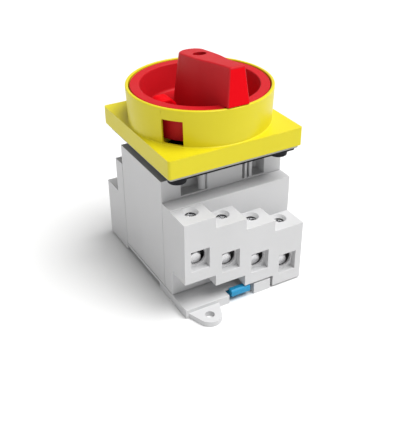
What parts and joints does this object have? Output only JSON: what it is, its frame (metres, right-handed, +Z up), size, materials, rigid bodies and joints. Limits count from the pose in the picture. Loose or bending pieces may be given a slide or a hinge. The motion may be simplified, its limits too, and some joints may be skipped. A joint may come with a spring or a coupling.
{
  "type": "rotary isolator switch",
  "caption": "Rail-mounted rotary isolator switch: red padlockable handle in a yellow collar and plate, stepped terminal blocks front and rear, sprung rail clip.",
  "frame": {"origin": "centre of the underside, on the handle's axis, level with the bottom of the base and its mounting ears", "axes": "+Z up along the handle's axis, out of the front plate; +X along the terminal row; -Y towards the terminals the handle points to at rest"},
  "size_m": [0.065, 0.1028, 0.1067],
  "materials": {
    "housing_plastic": "light grey moulded plastic, fine satin grain",
    "yellow_plastic": "signal yellow, smooth satin",
    "red_plastic": "signal red, smooth satin",
    "black_plastic": "black, matte",
    "gasket_rubber": "grey foam rubber",
    "deck_plastic": "dark grey glass-filled plastic",
    "rotor_plastic": "natural off-white, low-friction",
    "blue_plastic": "blue, satin",
    "contact_copper": "bright copper",
    "zinc_steel": "bright zinc plating"
  },
  "bodies": {
    "body": {"base": "housing_plastic", "housing": "housing_plastic", "front_terminal_shell": "housing_plastic", "rear_terminal_shell": "housing_plastic", "mechanism_cover": "deck_plastic", "contact_deck_1": "deck_plastic", "contact_deck_2": "deck_plastic", "contact_deck_3": "deck_plastic", "contact_deck_4": "deck_plastic", "fixed_contact_front_1": "contact_copper", "fixed_contact_front_2": "contact_copper", "fixed_contact_front_3": "contact_copper", "fixed_contact_front_4": "contact_copper", "fixed_contact_rear_1": "contact_copper", "fixed_contact_rear_2": "contact_copper", "fixed_contact_rear_3": "contact_copper", "fixed_contact_rear_4": "contact_copper", "detent_frame": "deck_plastic", "detent_spring_right": "zinc_steel", "detent_spring_left": "zinc_steel", "backing_plate": "black_plastic", "gasket": "gasket_rubber", "front_plate": "yellow_plastic", "plate_screw_1": "zinc_steel", "plate_screw_2": "zinc_steel", "plate_screw_3": "zinc_steel", "plate_screw_4": "zinc_steel"},
    "handle": {"handle": "red_plastic", "handle_screw": "zinc_steel", "shaft": "zinc_steel", "detent_cam": "rotor_plastic", "rotor_1": "rotor_plastic", "rotor_2": "rotor_plastic", "rotor_3": "rotor_plastic", "rotor_4": "rotor_plastic", "moving_contact_1": "contact_copper", "moving_contact_2": "contact_copper", "moving_contact_3": "contact_copper", "moving_contact_4": "contact_copper"},
    "padlock_slide": {"padlock_slide": "red_plastic"},
    "din_clip": {"din_clip": "blue_plastic"},
    "detent_plunger_right": {"detent_plunger_right": "zinc_steel"},
    "detent_plunger_left": {"detent_plunger_left": "zinc_steel"},
    "screw_front_1": {"terminal_screw_front_1": "zinc_steel"},
    "clamp_front_1": {"clamp_cage_front_1": "zinc_steel"},
    "screw_front_2": {"terminal_screw_front_2": "zinc_steel"},
    "clamp_front_2": {"clamp_cage_front_2": "zinc_steel"},
    "screw_front_3": {"terminal_screw_front_3": "zinc_steel"},
    "clamp_front_3": {"clamp_cage_front_3": "zinc_steel"},
    "screw_front_4": {"terminal_screw_front_4": "zinc_steel"},
    "clamp_front_4": {"clamp_cage_front_4": "zinc_steel"},
    "screw_rear_1": {"terminal_screw_rear_1": "zinc_steel"},
    "clamp_rear_1": {"clamp_cage_rear_1": "zinc_steel"},
    "screw_rear_2": {"terminal_screw_rear_2": "zinc_steel"},
    "clamp_rear_2": {"clamp_cage_rear_2": "zinc_steel"},
    "screw_rear_3": {"terminal_screw_rear_3": "zinc_steel"},
    "clamp_rear_3": {"clamp_cage_rear_3": "zinc_steel"},
    "screw_rear_4": {"terminal_screw_rear_4": "zinc_steel"},
    "clamp_rear_4": {"clamp_cage_rear_4": "zinc_steel"}
  },
  "joints": [
    {"name": "handle_turn", "type": "hinge", "parent": "body", "child": "handle", "pos_m": [0, 0, 0.09], "axis": [0, 0, 1], "range_deg": [-90, 0]},
    {"name": "padlock_slide_lift", "type": "slide", "parent": "handle", "child": "padlock_slide", "axis": [0, 0, 1], "range_m": [0, 0.005]},
    {"name": "din_clip_pull", "type": "slide", "parent": "body", "child": "din_clip", "axis": [0, -1, 0], "range_m": [0, 0.003], "stiffness_N_per_m": 4000},
    {"name": "detent_right_push", "type": "slide", "parent": "body", "child": "detent_plunger_right", "axis": [1, 0, 0], "range_m": [0, 0.0016], "stiffness_N_per_m": 1500, "deforming": ["detent_spring_right"]},
    {"name": "detent_left_push", "type": "slide", "parent": "body", "child": "detent_plunger_left", "axis": [-1, 0, 0], "range_m": [0, 0.0016], "stiffness_N_per_m": 1500, "deforming": ["detent_spring_left"]},
    {"name": "screw_front_1_turn", "type": "hinge", "parent": "body", "child": "screw_front_1", "pos_m": [-0.0228, -0.032, 0.04], "axis": [0, 0, 1], "range_deg": [0, 1801]},
    {"name": "clamp_front_1_open", "type": "slide", "parent": "body", "child": "clamp_front_1", "axis": [0, 0, -1], "range_m": [0, 0.004]},
    {"name": "screw_front_2_turn", "type": "hinge", "parent": "body", "child": "screw_front_2", "pos_m": [-0.0076, -0.032, 0.04], "axis": [0, 0, 1], "range_deg": [0, 1801]},
    {"name": "clamp_front_2_open", "type": "slide", "parent": "body", "child": "clamp_front_2", "axis": [0, 0, -1], "range_m": [0, 0.004]},
    {"name": "screw_front_3_turn", "type": "hinge", "parent": "body", "child": "screw_front_3", "pos_m": [0.0076, -0.032, 0.04], "axis": [0, 0, 1], "range_deg": [0, 1801]},
    {"name": "clamp_front_3_open", "type": "slide", "parent": "body", "child": "clamp_front_3", "axis": [0, 0, -1], "range_m": [0, 0.004]},
    {"name": "screw_front_4_turn", "type": "hinge", "parent": "body", "child": "screw_front_4", "pos_m": [0.0228, -0.032, 0.04], "axis": [0, 0, 1], "range_deg": [0, 1801]},
    {"name": "clamp_front_4_open", "type": "slide", "parent": "body", "child": "clamp_front_4", "axis": [0, 0, -1], "range_m": [0, 0.004]},
    {"name": "screw_rear_1_turn", "type": "hinge", "parent": "body", "child": "screw_rear_1", "pos_m": [0.0228, 0.032, 0.04], "axis": [0, 0, 1], "range_deg": [0, 1801]},
    {"name": "clamp_rear_1_open", "type": "slide", "parent": "body", "child": "clamp_rear_1", "axis": [0, 0, -1], "range_m": [0, 0.004]},
    {"name": "screw_rear_2_turn", "type": "hinge", "parent": "body", "child": "screw_rear_2", "pos_m": [0.0076, 0.032, 0.04], "axis": [0, 0, 1], "range_deg": [0, 1801]},
    {"name": "clamp_rear_2_open", "type": "slide", "parent": "body", "child": "clamp_rear_2", "axis": [0, 0, -1], "range_m": [0, 0.004]},
    {"name": "screw_rear_3_turn", "type": "hinge", "parent": "body", "child": "screw_rear_3", "pos_m": [-0.0076, 0.032, 0.04], "axis": [0, 0, 1], "range_deg": [0, 1801]},
    {"name": "clamp_rear_3_open", "type": "slide", "parent": "body", "child": "clamp_rear_3", "axis": [0, 0, -1], "range_m": [0, 0.004]},
    {"name": "screw_rear_4_turn", "type": "hinge", "parent": "body", "child": "screw_rear_4", "pos_m": [-0.0228, 0.032, 0.04], "axis": [0, 0, 1], "range_deg": [0, 1801]},
    {"name": "clamp_rear_4_open", "type": "slide", "parent": "body", "child": "clamp_rear_4", "axis": [0, 0, -1], "range_m": [0, 0.004]}
  ],
  "couplings": [
    {"joint": "screw_front_1_turn", "follows": "clamp_front_1_open", "rad_per_m": 7854},
    {"joint": "screw_front_2_turn", "follows": "clamp_front_2_open", "rad_per_m": 7854},
    {"joint": "screw_front_3_turn", "follows": "clamp_front_3_open", "rad_per_m": 7854},
    {"joint": "screw_front_4_turn", "follows": "clamp_front_4_open", "rad_per_m": 7854},
    {"joint": "screw_rear_1_turn", "follows": "clamp_rear_1_open", "rad_per_m": 7854},
    {"joint": "screw_rear_2_turn", "follows": "clamp_rear_2_open", "rad_per_m": 7854},
    {"joint": "screw_rear_3_turn", "follows": "clamp_rear_3_open", "rad_per_m": 7854},
    {"joint": "screw_rear_4_turn", "follows": "clamp_rear_4_open", "rad_per_m": 7854}
  ]
}
